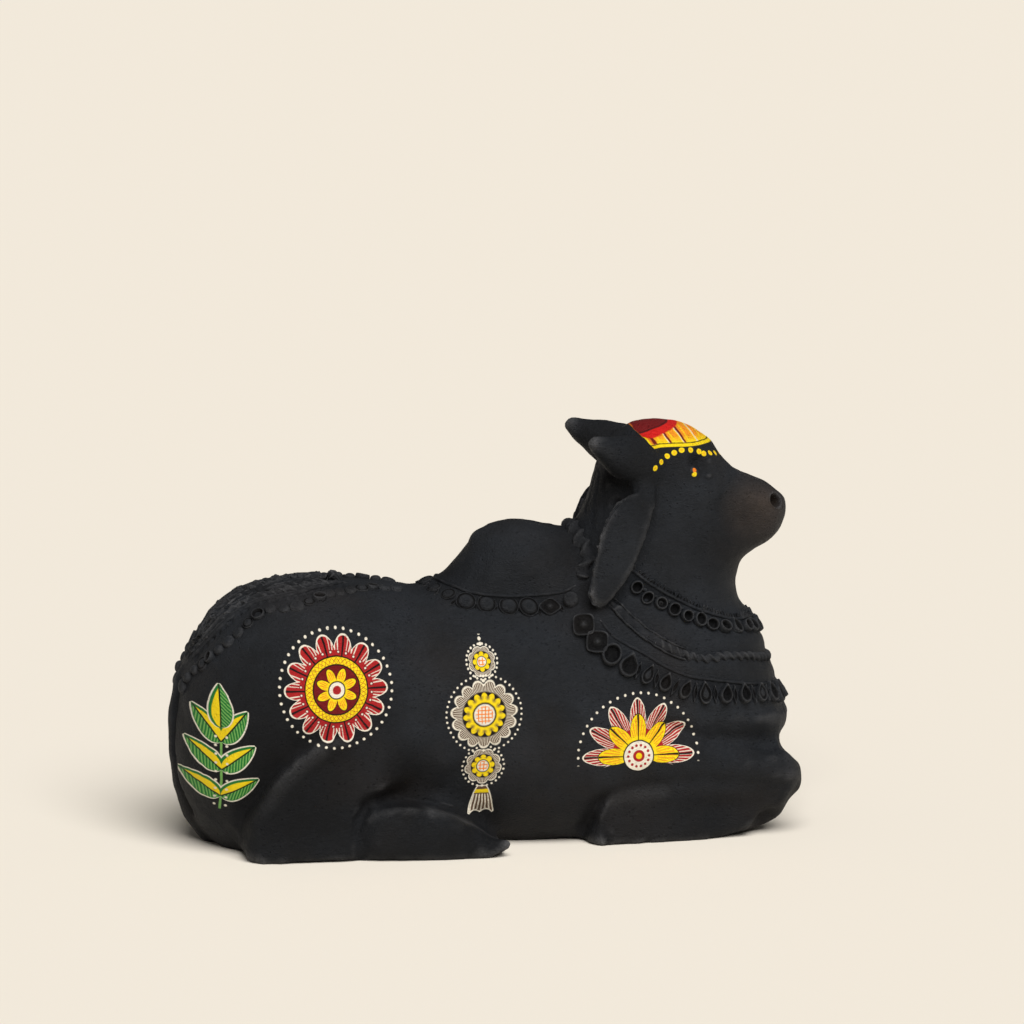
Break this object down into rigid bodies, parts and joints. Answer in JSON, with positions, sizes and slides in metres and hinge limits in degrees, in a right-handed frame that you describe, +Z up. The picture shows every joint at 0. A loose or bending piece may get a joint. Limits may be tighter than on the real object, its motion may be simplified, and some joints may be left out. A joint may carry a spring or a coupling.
{
  "type": "nandi bull figure",
  "caption": "Black clay bull lying on folded legs with its head raised, wearing relief necklaces, a hump garland and a beaded rump cloth, with painted motifs on its sides.",
  "frame": {"origin": "under the middle of the figure, on the surface it stands on", "axes": "+X towards the head, +Y towards the bull's left side, +Z up"},
  "size_m": [0.3, 0.1364, 0.1966],
  "materials": {
    "black_clay": "matt smoke-fired clay with painted motifs"
  },
  "bodies": {
    "root": {"nandi_bull": "black_clay"}
  },
  "joints": []
}
